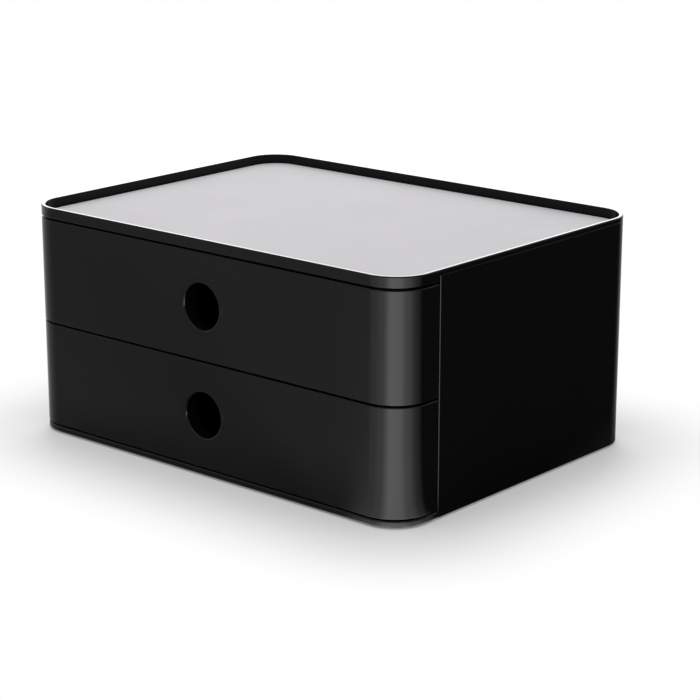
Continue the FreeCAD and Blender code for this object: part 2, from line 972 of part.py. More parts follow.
def make_drawer_front(drawer):
    """The glossy front. It wraps round both corners, and bosses behind it take the screws."""
    front = Piece(f"{drawer}_drawer_front")
    front.pad_up(
        "front_wall",
        ZERO,
        at.front_height,
        wrap_round_front(skin_out_front, skin_in_front, at.wrap_end),
    )
    bosses = [(-s.boss_spacing / 2, at.grip_height), (s.boss_spacing / 2, at.grip_height)]
    for i, (x, z) in enumerate(bosses):
        front.pad_forward(
            f"boss_rib_{i}",
            at.tray_front,
            at.skin_front,
            rectangle(
                x - s.boss_rib_wall / 2,
                z - s.boss_rib_height / 2,
                x + s.boss_rib_wall / 2,
                z + s.boss_rib_height / 2,
            ),
        )
    front.pad_forward(
        "bosses", at.tray_front, at.skin_front, *(circle(x, z, s.boss_radius) for x, z in bosses)
    )
    pilot = s.screw_radius + s.screw_gap
    front.cut_back(
        "boss_bores", at.skin_front, at.tray_front, *(circle(x, z, pilot) for x, z in bosses)
    )
    front.cut_back(
        "finger_hole",
        at.front,
        at.skin_front,
        circle(ZERO, at.grip_height, s.grip_lip + s.grip_fit),
    )
    front.bevel_edges("top_bevel", s.edge_bevel, contour_edges(ZERO, at.front_height))
    front.bevel_edges("bottom_bevel", s.edge_bevel, contour_edges(ZERO, ZERO))
    return front


def make_grip_ring(drawer):
    """The ring in the finger hole: a bevelled lip, a flange behind the front and a spigot in the tray."""
    ring = Piece(f"{drawer}_grip_ring")
    spigot = s.grip_bore + s.grip_spigot_wall
    flange = s.grip_lip + s.grip_flange
    flange_back = at.skin_front + s.grip_flange_wall
    sketch = ring.sketch(
        "ring_section",
        "YZ_Plane",
        ZERO,
        [
            outline(
                (at.front, s.grip_bore),
                (at.tray_inner_front, s.grip_bore),
                (at.tray_inner_front, spigot),
                (flange_back, spigot),
                (flange_back, flange),
                (at.skin_front, flange),
                (at.skin_front, s.grip_lip),
                (at.front, s.grip_lip),
            )
        ],
    )
    sketch.setExpression(".AttachmentOffset.Base.y", at.grip_height.text)
    turned = ring.body.newObject("PartDesign::Revolution", "ring_turned")
    turned.Profile = sketch
    turned.ReferenceAxis = (sketch, ["H_Axis"])
    turned.Angle = 360
    sketch.Visibility = False
    ring.body.Tip = turned
    ring.bevel_edges("lip_bevel", s.grip_lip_bevel, rims(s.grip_bore, "XZ_Plane", -at.front))
    return ring


def make_drawer_tray(drawer):
    """The box that holds things. Its rim slides in the side frames, and its tabs stop it at full travel."""
    tray = Piece(f"{drawer}_drawer_tray")
    tray.pad_up(
        "tray_block",
        s.tray_lift,
        at.tray_top,
        outline(
            (-at.tray_side, at.tray_front, at.tray_front_radius),
            (at.tray_side, at.tray_front, at.tray_front_radius),
            (at.tray_side, at.tray_back, at.tray_back_radius),
            (-at.tray_side, at.tray_back, at.tray_back_radius),
        ),
    )
    floor = s.tray_lift + s.tray_floor
    inner_front_radius = at.tray_front_radius - s.tray_wall
    inner_back_radius = at.tray_back_radius - s.tray_wall
    tray.cut_down(
        "tray_hollow",
        at.tray_top,
        floor,
        outline(
            (-at.tray_inner_side, at.tray_inner_front, inner_front_radius),
            (at.tray_inner_side, at.tray_inner_front, inner_front_radius),
            (at.tray_inner_side, at.tray_inner_back, inner_back_radius),
            (-at.tray_inner_side, at.tray_inner_back, inner_back_radius),
        ),
    )
    tray.bevel_edges("tray_inner_bevel", s.tray_bevel, level_edges(floor))
    tray.bevel_edges("tray_foot_bevel", s.tray_bevel, level_edges(s.tray_lift))
    tray.pad_up(
        "slide_rim",
        at.rim_bottom,
        at.tray_top,
        wrap_round_back(
            (at.rim_side, at.rim_back, at.tray_back_radius + s.slide_rim),
            (at.tray_inner_side, at.tray_inner_back, inner_back_radius),
            at.rim_front,
        ),
    )
    tabs = []
    for centre in (-s.tab_spacing / 2, s.tab_spacing / 2):
        tabs.append(
            rectangle(
                centre - s.tab_width / 2,
                at.tray_inner_back,
                centre + s.tab_width / 2,
                at.tray_back,
            )
        )
    tray.pad_up("stop_tabs", at.tray_top, at.tray_top + at.tab_top, *tabs)
    bosses = (-s.boss_spacing / 2, s.boss_spacing / 2)
    tray.cut_back(
        "front_wall_holes",
        at.tray_front,
        at.tray_inner_front,
        circle(ZERO, at.grip_height, s.grip_bore + s.grip_spigot_wall + s.fit_gap),
        *(circle(x, at.grip_height, s.screw_radius + s.fit_gap) for x in bosses),
    )
    return tray


def make_screws(label, role, bearing, length, x, y):
    """Two pan head screws, one on each side of the box. They lie along a plane's normal: x and y place one
    of them in the plane, and bearing is where the underside of its head lies along the normal."""
    screws = Piece(label)
    head_top = bearing - s.screw_head_height
    screws.pad("head", role, head_top, bearing, [circle(x, y, s.screw_head_radius)])
    screws.pad("shank", role, bearing, bearing + length, [circle(x, y, s.screw_radius)])
    screws.mirror_all("other_screw", "YZ_Plane")
    return screws


def check(pieces):
    """Stops the build if an object failed, a cut removed nothing, or a piece isn't one sound solid."""
    for item in document.Objects:
        if "Invalid" in item.State or "Error" in item.State:
            raise RuntimeError(f"{item.Label} failed: {item.State}")
        if item.TypeId == "PartDesign::Pocket":
            if item.Shape.Volume >= item.BaseFeature.Shape.Volume:
                raise RuntimeError(f"{item.Label} cuts nothing")
    for piece, solids in pieces:
        shape = piece.Shape
        if shape.isNull() or not shape.isValid():
            raise RuntimeError(f"{piece.Label} has no sound shape")
        if len(shape.Solids) != solids:
            raise RuntimeError(f"{piece.Label} has {len(shape.Solids)} solids")


def main():
    """Builds every piece, checks them all and writes one file for each."""
    right_frame = make_right_side_frame()
    single = [
        make_outer_jacket(),
        make_top_frame(),
        make_deck_insert(),
        make_divider_shelf(),
        make_base_pan(),
        right_frame,
    ]
    for place, (x, y) in foot_places().items():
        single.append(make_foot(place, x, y))
    bore_end = at.cup_top + s.post_height - s.post_roof
    base_screw_length = bore_end - s.screw_tip_room - at.cup_ceiling
    paired = [
        make_screws(
            "base_screws", "XY_Plane", at.cup_ceiling, base_screw_length, at.post_x, at.post_y
        )
    ]
    front_screw_length = s.tray_wall + s.boss_length - s.screw_tip_room
    for drawer, bottom in (("upper", at.upper_bottom), ("lower", at.lower_bottom)):
        moving = [make_drawer_front(drawer), make_grip_ring(drawer), make_drawer_tray(drawer)]
        single.extend(moving)
        screws = make_screws(
            f"{drawer}_front_screws",
            "XZ_Plane",
            -at.tray_inner_front,
            front_screw_length,
            s.boss_spacing / 2,
            at.grip_height,
        )
        paired.append(screws)
        for piece in (*moving, screws):
            piece.lift(bottom)
    pieces = [(piece.body, 1) for piece in single]
    pieces += [(piece.body, 2) for piece in paired]
    pieces.append((mirror_of(right_frame, "left_side_frame"), 1))
    document.recompute()
    check(pieces)
    os.makedirs("parts", exist_ok=True)
    for piece, _ in pieces:
        piece.Shape.exportStep(os.path.join("parts", f"{piece.Label}.step"))
        print(piece.Label, round(piece.Shape.Volume), "mm3")


main()
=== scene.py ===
"""Desk box with two drawers under a shallow tray, laid out as an add-on and run as a script.

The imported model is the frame. The mouldings that show and the screws are built again here with
round edges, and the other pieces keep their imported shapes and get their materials.
"""

import math

import bmesh
import bpy
from mathutils import Matrix, Vector


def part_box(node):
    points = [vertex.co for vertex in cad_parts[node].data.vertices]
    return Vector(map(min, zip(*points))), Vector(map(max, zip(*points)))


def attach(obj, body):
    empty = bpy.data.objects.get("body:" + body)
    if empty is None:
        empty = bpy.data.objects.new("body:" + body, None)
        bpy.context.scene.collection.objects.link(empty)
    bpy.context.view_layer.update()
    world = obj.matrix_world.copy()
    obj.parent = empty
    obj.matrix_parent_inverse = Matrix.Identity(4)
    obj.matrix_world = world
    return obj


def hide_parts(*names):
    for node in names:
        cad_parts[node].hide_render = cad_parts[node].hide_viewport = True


bl_info = {
    "name": "Desk Box With Drawers",
    "version": (1, 0, 0),
    "blender": (4, 5, 0),
    "location": "3D View > Sidebar > Desk Box",
    "description": "Builds a two-drawer desk box with its finishes, its floor and its lamps",
    "category": "Object",
}

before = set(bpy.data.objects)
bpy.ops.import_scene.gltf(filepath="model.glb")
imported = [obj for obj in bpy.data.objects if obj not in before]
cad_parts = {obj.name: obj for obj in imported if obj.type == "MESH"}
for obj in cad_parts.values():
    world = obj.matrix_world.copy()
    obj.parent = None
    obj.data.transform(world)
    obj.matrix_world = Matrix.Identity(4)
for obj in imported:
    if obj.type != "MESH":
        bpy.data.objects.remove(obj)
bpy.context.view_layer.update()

MM = 0.001
DRAWERS = ("upper", "lower")

# How many steps draw a corner of the box, the round of an edge and the round of a wall's end.
CORNER_STEPS, EDGE_STEPS, END_STEPS = 32, 5, 4
# The same for a finger hole, a grip ring and its lip, and for a screw and its head.
HOLE_STEPS, RING_STEPS, LIP_STEPS = 96, 128, 10
SCREW_STEPS, HEAD_STEPS = 40, 8

WELD = 1e-4  # Points closer than this, in millimetres, become one.
LEAST_ROUND = 1e-3  # A round that shrinks stops here, in millimetres, and so keeps its points.
SHARP_ANGLE = math.radians(40)  # Edges that turn further than this stay sharp.


def extent(node):
    """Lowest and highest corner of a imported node, in millimetres."""
    low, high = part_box(node)
    return low / MM, high / MM


JACKET_LOW, JACKET_HIGH = extent("outer_jacket")
TOP_HIGH = extent("top_frame")[1]
DECK_LOW, DECK_HIGH = extent("deck_insert")
FRONT_LOW, FRONT_HIGH = extent("upper_drawer_front")


def length(name, text, millimetres):
    """A size that the user can change, kept in metres."""
    return bpy.props.FloatProperty(
        name=name,
        description=text,
        default=millimetres * MM,
        min=0,
        precision=5,
        subtype="DISTANCE",
        unit="LENGTH",
    )


def colour(name, text, code):
    """A colour that the user can change, given as an sRGB hex value."""
    return bpy.props.FloatVectorProperty(
        name=name, description=text, default=linear(code), size=4, min=0, max=1, subtype="COLOR"
    )


def linear(code):
    """Scene-linear colour of an sRGB hex value."""
    parts = [int(code[i : i + 2], 16) / 255 for i in (1, 3, 5)]
    return (*[p / 12.92 if p <= 0.04045 else ((p + 0.055) / 1.055) ** 2.4 for p in parts], 1.0)


class BoxSizes(bpy.types.PropertyGroup):
    """Sizes of the mouldings that show."""

    corner: length("Corner radius", "Radius of the four upright corners", 20)
    skin: length("Skin", "Wall of the glossy mouldings", 2.2)
    edge: length("Edge round", "Round along the level edges", 0.6)
    seam_edge: length("Seam round", "Round along the upright edges at the side seams", 0.6)
    ring_height: length("Rim ring", "Height of the rim above the jacket", 2.5)
    tongue: length("Tongue", "Wall of the jacket's tongue behind the rim", 1.0)
    ledge: length("Ledge", "Width of the ledge round the deck", 1.3)
    band: length("Top band", "Height of the band over the drawers", 5.8)
    carrier: length("Carrier", "Thickness of the plate under the deck", 2.0)
    fit_gap: length("Fit gap", "Gap between pieces that stay still", 0.2)
    front_gap: length("Front gap", "Gap behind the drawer fronts", 0.5)
    grip_bore: length("Grip bore", "Radius of the clear finger hole", 12)
    grip_lip: length("Grip lip", "Outer radius of the lip round the finger hole", 14.4)
    grip_round: length("Grip round", "Round of the lip where a finger bears on it", 1.15)
    grip_flange: length("Grip flange", "Thickness of the flange behind the front", 1.6)
    grip_wall: length("Grip wall", "Wall of the ring's spigot", 1.2)
    screw_head: length("Screw head", "Height of the screw heads", 1.9)
    screw_shank: length("Screw shank", "Radius of the screw shanks", 1.4)


class BoxColours(bpy.types.PropertyGroup):
    """Colours of the mouldings and of the floor."""

    gloss: colour("Gloss black", "Polished skin of the box", "#0a0a0b")
    inner: colour("Inner black", "Satin mouldings inside the box", "#131314")
    deck: colour("Deck grey", "Plate that lies in the tray on top", "#d2d0d3")
    rubber: colour("Rubber black", "Pads under the box", "#1b1b1b")
    zinc: colour("Zinc", "Plated screws", "#c3c4c6")
    floor: colour("Floor", "Plain floor of the studio", "#fafafa")


def sizes():
    """The sizes as the meshes use them, in millimetres."""
    group = bpy.context.scene.desk_box_sizes
    return {name: getattr(group, name) / MM for name in BoxSizes.__annotations__}


def colours():
    """The colours of the scene, as the materials use them."""
    return bpy.context.scene.desk_box_colours


# Outlines seen from above. A station is a point on the outermost outline with its direction
# outwards.


def corner_stations(centre_x, centre_y, radius, start, steps):
    """Stations round one corner, from the outward angle start, in degrees, over a quarter turn."""
    made = []
    for i in range(steps + 1):
        angle = math.radians(start + 90 * i / steps)
        out = (math.cos(angle), math.sin(angle))
        made.append((centre_x + radius * out[0], centre_y + radius * out[1], *out))
    return made


def box_corners(radius, steps):
    """The four corners, anticlockwise from the back right one, as lists of stations."""
    side, end = FRONT_HIGH.x - radius, -FRONT_LOW.y - radius
    places = ((side, end), (-side, end), (-side, -end), (side, -end))
    return [corner_stations(x, y, radius, 90 * i, steps) for i, (x, y) in enumerate(places)]


def end_round(y, out_x, towards, radius, steps):
    """Stations that round off a wall's end at y, each with how far its section shrinks."""
    made = []
    for i in range(steps + 1):
        angle = math.radians(90 * i / steps)
        place = y + towards * radius * (1 - math.sin(angle))
        made.append(((FRONT_HIGH.x * out_x, place, out_x, 0.0), radius * (1 - math.cos(angle))))
    return made


def open_path(corners, end_y, radius, steps):
    """Stations with shrinkage from one rounded end, round the corners given, to the other end."""
    first, last = corners[0][0], corners[-1][-1]
    towards = math.copysign(1, first[1] - end_y)
    start = end_round(end_y, math.copysign(1, first[0]), towards, radius, steps)
    finish = end_round(end_y, math.copysign(1, last[0]), towards, radius, steps)
    middle = [(station, 0.0) for corner in corners for station in corner]
    return start[::-1] + middle + finish


# Sections across a wall. A section point is its depth in from the outline, and its height.


def moved_in(points, amount):
    """The closed polygon with every side moved inwards. Its corners run clockwise on (depth, z)."""
    made = []
    count = len(points)
    for i in range(count):
        before, here, after = (Vector(points[(i + k) % count]) for k in (-1, 0, 1))
        one, two = (here - before).normalized(), (after - here).normalized()
        normal_one, normal_two = Vector((one.y, -one.x)), Vector((two.y, -two.x))
        share = 1 + normal_one.dot(normal_two)
        made.append(here + (normal_one + normal_two) * (amount / share))
    return made


def arc(corner, before, after, radius, steps):
    """Points that round off a corner of a section, from the side before it to the side after it."""
    one, two = (before - corner).normalized(), (after - corner).normalized()
    half = one.angle(two) / 2
    centre = corner + (one + two).normalized() * (radius / math.sin(half))
    arm = corner + one * (radius / math.tan(half)) - centre
    sweep = math.pi - 2 * half
    turn = 1 if one.x * two.y - one.y * two.x < 0 else -1
    return [centre + Matrix.Rotation(turn * sweep * k / steps, 2) @ arm for k in range(steps + 1)]


def rounded(points, radii, steps, shrink=0.0):
    """A closed section whose corners are rounded, and that can be shrunk towards a wall's end."""
    corners = moved_in(points, shrink) if shrink else [Vector(p) for p in points]
    made = []
    for i, (here, radius) in enumerate(zip(corners, radii)):
        if radius:
            after = corners[(i + 1) % len(corners)]
            made.extend(arc(here, corners[i - 1], after, max(radius - shrink, LEAST_ROUND), steps))
        else:
            made.append(here)
    return made


def section_line(ends, steps):
    """An open section from corner points with radii, always with the same number of points."""
    points = [Vector(point) for point, _ in ends]
    made = [points[0]]
    for i in range(1, len(ends) - 1):
        radius = ends[i][1]
        if radius:
            made.extend(arc(points[i], points[i - 1], points[i + 1], radius, steps))
        else:
            made.extend([points[i]] * (steps + 1))
    return made + [points[-1]]


# Meshes, all made in millimetres and finished in metres.


def skin_between(mesh, here, after, closed=True):
    """Faces between two loops of points, all the way round or from the first point to the last."""
    for k in range(len(here) if closed else len(here) - 1):
        m = (k + 1) % len(here)
        mesh.faces.new((here[k], after[k], after[m], here[m]))


def swept(stations, section_at, ring):
    """A mesh that carries a section along the stations.

    A ring has a closed path and an open section, and is filled over the section's first and last
    points. Any other path is open, its section is closed, and its two ends are filled.
    """
    mesh = bmesh.new()
    loops = []
    for (x, y, out_x, out_y), shrink in stations:
        places = [(x - depth * out_x, y - depth * out_y, z) for depth, z in section_at(shrink)]
        loops.append([mesh.verts.new(place) for place in places])
    for here, after in zip(loops, loops[1:] + loops[:1] if ring else loops[1:]):
        skin_between(mesh, here, after, closed=not ring)
    if ring:
        mesh.faces.new([loop[0] for loop in loops])
        mesh.faces.new([loop[-1] for loop in reversed(loops)])
    else:
        mesh.faces.new(loops[0])
        mesh.faces.new(loops[-1][::-1])
    return mesh


def turned(profile, centre_z, steps):
    """A mesh turned about the line along Y at x = 0. The profile is closed, in (radius, y)."""
    mesh = bmesh.new()
    loops = []
    for i in range(steps):
        angle = 2 * math.pi * i / steps
        places = [(r * math.cos(angle), y, centre_z + r * math.sin(angle)) for r, y in profile]
        loops.append([mesh.verts.new(place) for place in places])
    for here, after in zip(loops, loops[1:] + loops[:1]):
        skin_between(mesh, here, after)
    return mesh


def bar(mesh, low, high, bevel):
    """Adds a straight rib between two corners, with its edges bevelled."""
    made = bmesh.ops.create_cube(mesh, size=1)
    middle = (Vector(low) + Vector(high)) / 2
    size = Vector(high) - Vector(low)
    bmesh.ops.scale(mesh, vec=size, verts=made["verts"])
    bmesh.ops.translate(mesh, vec=middle, verts=made["verts"])
    edges = list({e for v in made["verts"] for e in v.link_edges})
    bmesh.ops.bevel(mesh, geom=edges, offset=bevel, segments=1, affect="EDGES", profile=0.5)


def as_object(name, mesh):
    """Closes a mesh up, turns it into metres and links it as an object."""
    bmesh.ops.remove_doubles(mesh, verts=mesh.verts, dist=WELD)
    bmesh.ops.dissolve_degenerate(mesh, edges=mesh.edges, dist=WELD)
    bmesh.ops.recalc_face_normals(mesh, faces=mesh.faces)
    bmesh.ops.scale(mesh, vec=(MM, MM, MM), verts=mesh.verts)
    data = bpy.data.meshes.new(name)
    mesh.to_mesh(data)
    mesh.free()
    piece = bpy.data.objects.new(name, data)
    bpy.context.scene.collection.objects.link(piece)
    return piece


def joined(parts):
    """One mesh made of several."""
    whole = bmesh.new()
    for part in parts:
        data = bpy.data.meshes.new("part")
        part.to_mesh(data)
        part.free()
        whole.from_mesh(data)
        bpy.data.meshes.remove(data)
    return whole


def cross_recess(reach, width, depth):
    """A tapered cross that is cut into a screw head whose face is at y = 0."""
    a, b = width / 2, reach
    taper = 0.75
    outline = [(a, b), (-a, b), (-a, a), (-b, a), (-b, -a), (-a, -a)]
    outline += [(-x, -z) for x, z in outline]
    mesh = bmesh.new()
    outer = [mesh.verts.new((x, -depth, z)) for x, z in outline]
    inner = [mesh.verts.new((taper * x, depth, taper * z)) for x, z in outline]
    mesh.faces.new(outer)
    mesh.faces.new(reversed(inner))
    for i in range(len(outline)):
        k = (i + 1) % len(outline)
        mesh.faces.new((outer[i], outer[k], inner[k], inner[i]))
    return mesh


def screw_boxes(node):
    """Lowest and highest corner of each screw of a packed group, in millimetres."""
    mesh = bmesh.new()
    mesh.from_mesh(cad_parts[node].data)
    bmesh.ops.remove_doubles(mesh, verts=mesh.verts, dist=1e-6)
    left = set(mesh.verts)
    found = []
    while left:
        todo = [left.pop()]
        spots = []
        while todo:
            vert = todo.pop()
            spots.append(vert.co / MM)
            near = {edge.other_vert(vert) for edge in vert.link_edges} & left
            left -= near
            todo.extend(near)
        found.append([tuple(map(pick, zip(*spots))) for pick in (min, max)])
    mesh.free()
    return [(Vector(low), Vector(high)) for low, high in sorted(found)]


def cut_out(piece, cutter_mesh):
    """Cuts a closed mesh out of a piece for good."""
    cutter = as_object("cutter", cutter_mesh)
    cut = piece.modifiers.new("cut", "BOOLEAN")
    cut.operation = "DIFFERENCE"
    cut.solver = "EXACT"
    cut.object = cutter
    graph = bpy.context.evaluated_depsgraph_get()
    graph.update()
    result = bpy.data.meshes.new_from_object(piece.evaluated_get(graph), depsgraph=graph)
    piece.modifiers.remove(cut)
    spent = (piece.data, cutter.data)
    piece.data = result
    bpy.data.objects.remove(cutter)
    for data in spent:
        bpy.data.meshes.remove(data)


def add_piece(name, mesh, body, material, replaces, cutter=None):
    """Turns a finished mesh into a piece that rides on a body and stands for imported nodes."""
    piece = as_object(name, mesh)
    if cutter:
        cut_out(piece, cutter)
    data = piece.data
    data.materials.clear()
    data.materials.append(material)
    data.polygons.foreach_set("use_smooth", [True] * len(data.polygons))
    data.set_sharp_from_angle(angle=SHARP_ANGLE)
    weighted = piece.modifiers.new("even_shading", "WEIGHTED_NORMAL")
    weighted.keep_sharp = True
    weighted.weight = 100
    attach(piece, body)
    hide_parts(*replaces)


# Materials. The IOR starts at about 1.5, as for most plastics, and is lowered where the photograph
# shows less gloss.

WHITE = (1, 1, 1, 1)
NOISE = {"From Min": 0.3, "From Max": 0.7}  # The range that most of a noise lies in.
FLOW = 60 * MM  # Over this length the gloss and the colour of a moulding change.
CLOUD = 1.5 * MM  # The same for the zinc on a screw.


def add_node(tree, kind, settings=None, inputs=(), **links):
    """Adds a node. Settings go to sockets or properties by name, inputs to the sockets in order.

    A source that is itself a socket is linked. Links name the sockets that they fill.
    """
    node = tree.nodes.new(kind)
    for name, value in (settings or {}).items():
        if name in node.inputs:
            node.inputs[name].default_value = value
        else:
            setattr(node, name, value)
    named = [(node.inputs[name.replace("_", " ")], source) for name, source in links.items()]
    for socket, source in [*zip(node.inputs, inputs), *named]:
        if isinstance(source, bpy.types.NodeSocket):
            tree.links.new(source, socket)
        else:
            socket.default_value = source
    return node


def new_material(name):
    """An empty node material and its tree."""
    material = bpy.data.materials.new(name)
    material.use_nodes = True
    material.node_tree.nodes.clear()
    return material, material.node_tree


def moulded(name, base, rough, spread, ior, ripple, grain_mm):
    """A moulded plastic: its colour and gloss shift slightly over the surface, over a fine grain.

    The height of the ripple is in millimetres too. Pieces of one plastic share its material.
    """
    if name in bpy.data.materials:
        return bpy.data.materials[name]
    material, tree = new_material(name)
    place = add_node(tree, "ShaderNodeTexCoord").outputs["Object"]
    flow = add_node(
        tree, "ShaderNodeTexNoise", {"Scale": 1 / FLOW, "Detail": 3.0}, Vector=place
    )
    grain = add_node(
        tree, "ShaderNodeTexNoise", {"Scale": 1 / (grain_mm * MM), "Detail": 2.0}, Vector=place
    )
    gloss = add_node(
        tree,
        "ShaderNodeMapRange",
        {**NOISE, "To Min": rough - spread, "To Max": rough + spread},
        Value=flow.outputs["Fac"],
    )
    tint = add_node(
        tree,
        "ShaderNodeMapRange",
        {**NOISE, "To Min": 0.96, "To Max": 1.04},
        Value=flow.outputs["Fac"],
    )
    shade = add_node(
        tree, "ShaderNodeHueSaturation", {"Color": base}, Value=tint.outputs["Result"]
    )
    bump = add_node(
        tree,
        "ShaderNodeBump",
        {"Strength": 1.0, "Distance": ripple * MM},
        Height=grain.outputs["Fac"],
    )
    shader = add_node(
        tree,
        "ShaderNodeBsdfPrincipled",
        {"IOR": ior},
        Base_Color=shade.outputs["Color"],
        Roughness=gloss.outputs["Result"],
        Normal=bump.outputs["Normal"],
    )
    add_node(tree, "ShaderNodeOutputMaterial", Surface=shader.outputs["BSDF"])
    return material


def polished_black():
    """Black ABS from a polished mould: deep and mirror-like, with a slightly uneven gloss."""
    # The ripple is the slight waviness that a polished moulding shows in its reflections.
    return moulded(
        "polished_black_abs",
        colours().gloss,
        rough=0.06,
        spread=0.02,
        ior=1.22,
        ripple=0.002,
        grain_mm=0.9,
    )


def etched_grey():
    """Pale grey polystyrene from an etched mould: an even matte face with a fine dry grain."""
    # An etch is finer than this. It is drawn at half a millimetre so that it shows.
    return moulded(
        "etched_grey_polystyrene",
        colours().deck,
        rough=0.75,
        spread=0.04,
        ior=1.12,
        ripple=0.02,
        grain_mm=0.5,
    )


def satin_black():
    """Black polypropylene as moulded: a soft satin face without the depth of the glossy skin."""
    # The real grain is finer, and is drawn coarser so that it softens the light.
    return moulded(
        "satin_black_polypropylene",
        colours().inner,
        rough=0.42,
        spread=0.05,
        ior=1.45,
        ripple=0.01,
        grain_mm=0.6,
    )


def dull_rubber():
    """Black rubber strip: dull and slightly grey, with a coarse grain."""
    return moulded(
        "dull_black_rubber",
        colours().rubber,
        rough=0.8,
        spread=0.06,
        ior=1.5,
        ripple=0.03,
        grain_mm=0.4,
    )


def plated_steel():
    """Zinc plated steel: a bright, slightly blue metal, clouded by the plating."""
    material, tree = new_material("zinc_plated_steel")
    place = add_node(tree, "ShaderNodeTexCoord").outputs["Object"]
    cloud = add_node(
        tree, "ShaderNodeTexNoise", {"Scale": 1 / CLOUD, "Detail": 4.0}, Vector=place
    )
    gloss = add_node(
        tree,
        "ShaderNodeMapRange",
        {**NOISE, "To Min": 0.22, "To Max": 0.38},
        Value=cloud.outputs["Fac"],
    )
    tint = add_node(
        tree,
        "ShaderNodeMapRange",
        {**NOISE, "To Min": 0.9, "To Max": 1.05},
        Value=cloud.outputs["Fac"],
    )
    shade = add_node(
        tree, "ShaderNodeHueSaturation", {"Color": colours().zinc}, Value=tint.outputs["Result"]
    )
    shader = add_node(
        tree,
        "ShaderNodeBsdfPrincipled",
        {"Metallic": 1.0},
        Base_Color=shade.outputs["Color"],
        Roughness=gloss.outputs["Result"],
    )
    add_node(tree, "ShaderNodeOutputMaterial", Surface=shader.outputs["BSDF"])
    return material


def finish_node(name, material):
    """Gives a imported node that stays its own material."""
    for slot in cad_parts[name].material_slots:
        slot.link = "OBJECT"
        slot.material = material


# Pieces.

WRAP_END = FRONT_HIGH.y

# Small rounds, in millimetres: where the jacket meets the rim, along inner edges, along the deck's
# edge and round the outside of a grip's lip. Then over a screw's head, under it and at its tip.
LAP_ROUND, INNER_ROUND, DECK_ROUND, LIP_ROUND = 0.25, 0.2, 0.3, 0.15
HEAD_ROUND, UNDER_HEAD_ROUND, TIP_ROUND = 1.25, 0.15, 0.5

# The cross in a screw head: reach and width as shares of the head's radius, depth of its height.
CROSS_REACH, CROSS_WIDTH, CROSS_DEPTH = 0.55, 0.28, 0.6

GRIP_GAP = 0.1  # Between the lip of a grip ring and the hole in the front.
PLUG_REACH = 5  # How far the cutter of that hole stands out on both sides of the front's face.

# Ribs under the carrier plate of the top frame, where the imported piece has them, in millimetres:
# those from front to back, the one that stops the upper drawer, and the two along the sides.
RIB_PLACES = (-90, -45, 0, 45, 90)
RIB_WIDTH, RIB_DEPTH = 1.6, 1.6
RIB_FRONT, RIB_BACK = -91.3, 83.2
STOP_RIB_SIDE, STOP_RIB_FRONT, STOP_RIB_BACK, STOP_RIB_BOTTOM = 120.5, -49.1, -47.1, 113.3
SIDE_RIB_INNER, SIDE_RIB_OUTER, SIDE_RIB_FRONT, SIDE_RIB_BACK = 120.3, 121.8, -76, 77.5
RIB_BEVEL = 0.2


class DESKBOX_OT_jacket(bpy.types.Operator):
    """Build the U-shaped glossy skin round both sides and the back"""

    bl_idname = "desk_box.jacket"
    bl_label = "Jacket"

    def execute(self, context):
        s = sizes()
        shoulder = TOP_HIGH.z - s["band"] - s["fit_gap"]
        low, high = JACKET_LOW.z, JACKET_HIGH.z
        section = [
            (0, low),
            (0, high),
            (s["tongue"], high),
            (s["tongue"], shoulder),
            (s["skin"], shoulder),
            (s["skin"], low),
        ]
        radii = [s["edge"], LAP_ROUND, 0, 0, 0, 0]
        corners = box_corners(s["corner"], CORNER_STEPS)[:2]
        path = open_path(corners, JACKET_LOW.y, s["seam_edge"], END_STEPS)
        mesh = swept(path, lambda by: rounded(section, radii, EDGE_STEPS, by), ring=False)
        add_piece("jacket", mesh, "housing", polished_black(), ["outer_jacket"])
        return {"FINISHED"}


